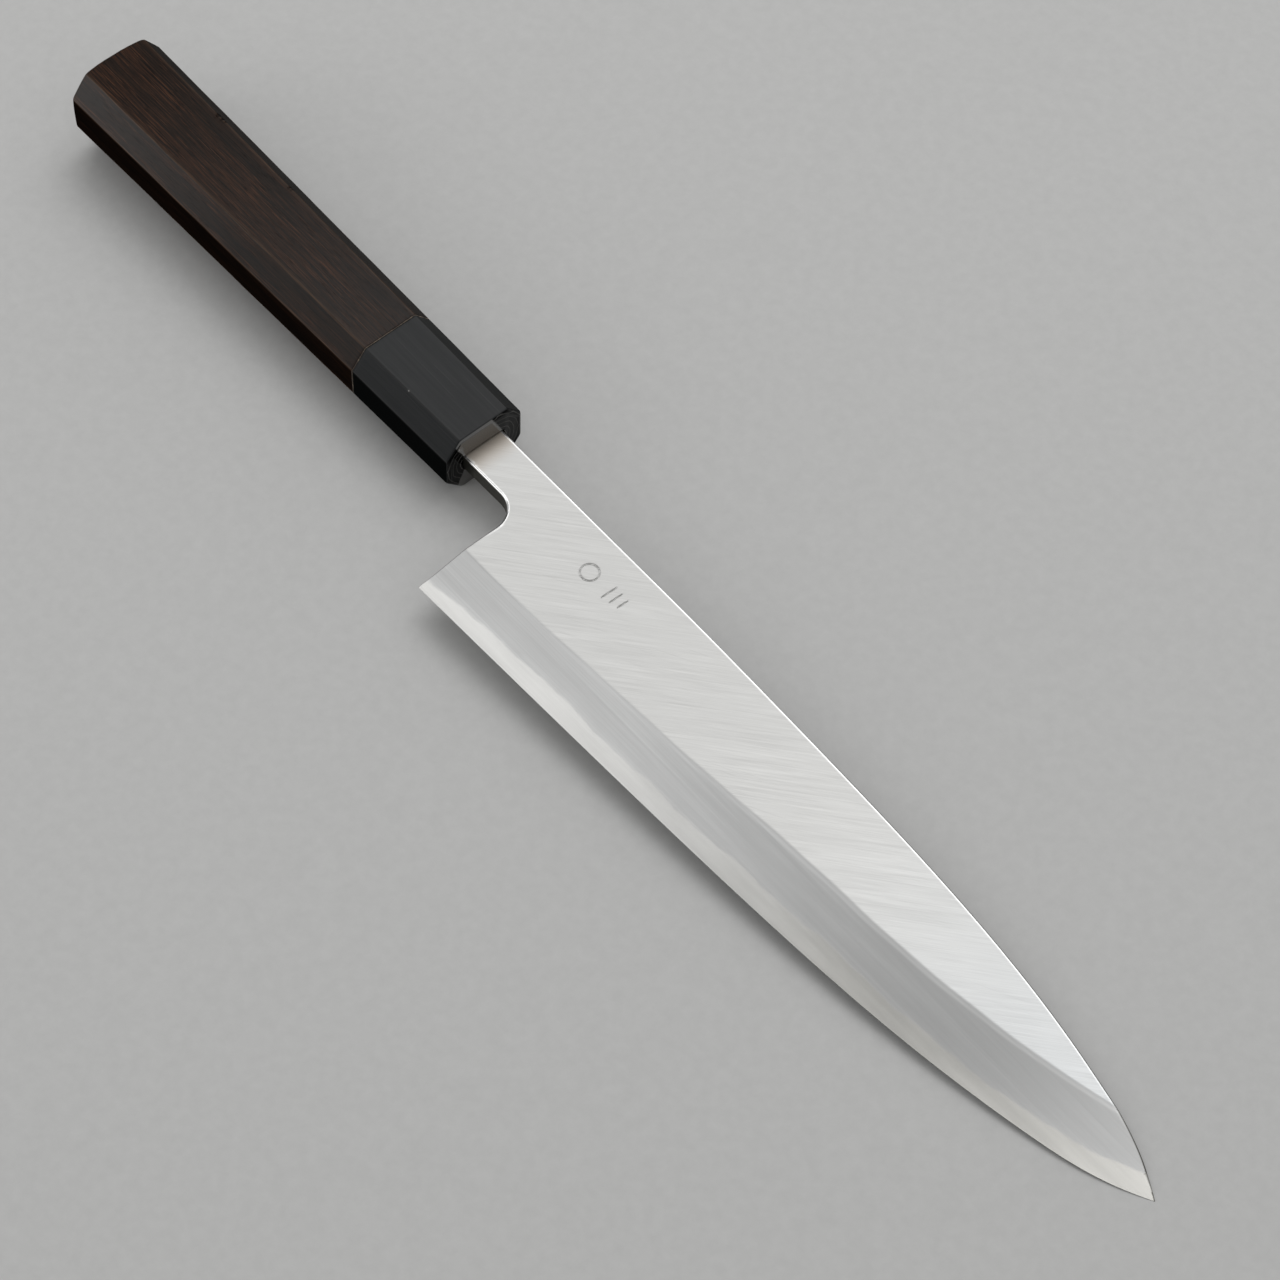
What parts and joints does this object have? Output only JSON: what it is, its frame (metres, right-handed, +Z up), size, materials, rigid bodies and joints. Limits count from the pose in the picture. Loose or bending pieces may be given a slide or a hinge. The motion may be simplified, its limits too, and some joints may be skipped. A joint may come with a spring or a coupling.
{
  "type": "chef knife",
  "caption": "Japanese-pattern chef knife lying on its side: forge-welded blade with a wide hazed bevel and bright edge steel, push-on octagonal ebony handle and horn ferrule",
  "frame": {"origin": "on the table under the middle of the bounding box of the knife lying on its left side, with its front face up", "axes": "+X along the knife from butt to tip, +Y in the plane of the blade from cutting edge to spine, +Z up; the knife stands on the ferrule's lower front edge and the tip, so the handle's axis dips towards the tip by 2.27 degrees"},
  "size_m": [0.3826, 0.0498, 0.0262],
  "materials": {
    "front_cladding": "soft iron, satin flat and hazed wide bevel",
    "core_steel": "hard carbon steel, brighter polish along the edge",
    "back_cladding": "soft iron, satin flat and hazed wide bevel",
    "horn_ferrule": "black buffalo horn, satin facets and a polished front",
    "joint_glue": "pale tan glue film, rough",
    "ebony_handle": "oiled ebony, dark brown to black with reddish streaks",
    "tang_dowel": "pale magnolia wood, unfinished"
  },
  "bodies": {
    "root": {"front_cladding": "front_cladding", "core_steel": "core_steel", "back_cladding": "back_cladding", "horn_ferrule": "horn_ferrule", "joint_glue": "joint_glue", "ebony_handle": "ebony_handle", "tang_dowel": "tang_dowel"}
  },
  "joints": []
}
